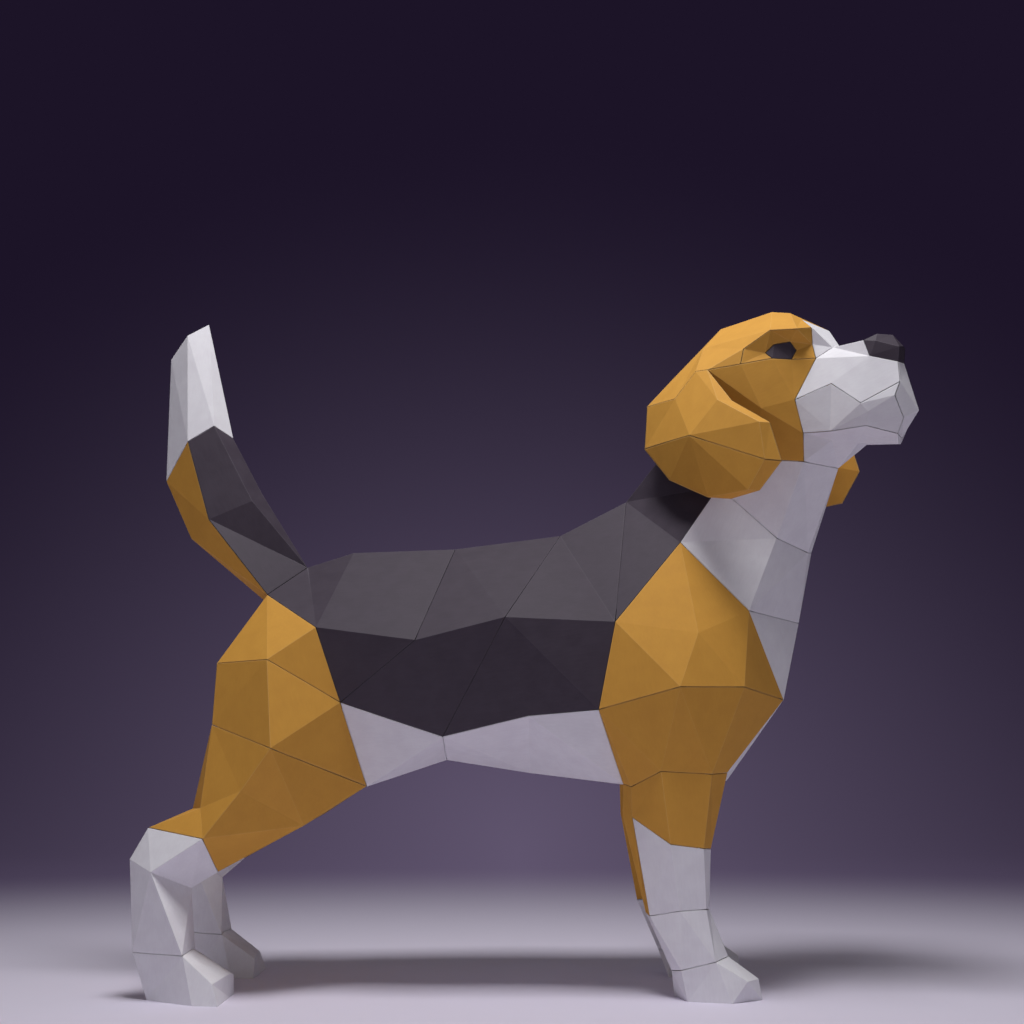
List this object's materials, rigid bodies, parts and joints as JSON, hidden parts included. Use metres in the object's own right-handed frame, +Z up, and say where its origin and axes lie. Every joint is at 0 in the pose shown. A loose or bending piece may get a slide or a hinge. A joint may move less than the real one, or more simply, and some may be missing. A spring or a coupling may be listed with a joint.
{
  "type": "origami dog",
  "caption": "Standing folded-card dog: a hollow faceted papercraft beagle in ochre, white and black card, head turned to one side and tail up.",
  "frame": {"origin": "on the ground plane, at the bottom centre of the whole dog's bounding box", "axes": "+X from the tail towards the chest, +Y towards the dog's left side, +Z up"},
  "size_m": [0.5898, 0.2191, 0.526],
  "materials": {
    "ochre_card": "matt, uncoated",
    "white_card": "matt, uncoated",
    "black_card": "matt, uncoated"
  },
  "bodies": {
    "root": {"tail_tip": "white_card", "tail_top": "black_card", "tail_underside": "ochre_card", "back_rear": "black_card", "back_middle": "black_card", "back_front": "black_card", "neck_back": "black_card", "belly_rear": "white_card", "belly_front": "white_card", "seat": "ochre_card", "haunch_upper_right": "ochre_card", "haunch_upper_left": "ochre_card", "haunch_middle_right": "ochre_card", "haunch_middle_left": "ochre_card", "haunch_lower_right": "ochre_card", "haunch_lower_left": "ochre_card", "thigh_inner_right": "ochre_card", "thigh_inner_left": "ochre_card", "hind_leg_right": "white_card", "hind_leg_left": "white_card", "hind_paw_right": "white_card", "hind_paw_left": "white_card", "chest_upper": "white_card", "throat_sheet": "white_card", "chest_lower": "white_card", "shoulder_upper_right": "ochre_card", "shoulder_upper_left": "ochre_card", "shoulder_lower_right": "ochre_card", "shoulder_lower_left": "ochre_card", "upper_arm_right": "ochre_card", "upper_arm_left": "ochre_card", "forearm_right": "white_card", "forearm_left": "white_card", "pastern_right": "white_card", "pastern_left": "white_card", "front_paw_right": "white_card", "front_paw_left": "white_card", "skull_cap": "ochre_card", "brow_and_lids_right": "ochre_card", "brow_and_lids_left": "ochre_card", "eye_right": "black_card", "eye_left": "black_card", "cheek_right": "ochre_card", "cheek_left": "ochre_card", "ear_upper_right": "ochre_card", "ear_upper_left": "ochre_card", "ear_lower_right": "ochre_card", "ear_lower_left": "ochre_card", "ear_inner_right": "ochre_card", "ear_inner_left": "ochre_card", "blaze": "white_card", "muzzle": "white_card", "jowl_right": "white_card", "jowl_left": "white_card", "muzzle_front": "white_card", "lower_jaw": "white_card", "nose": "black_card"}
  },
  "joints": []
}
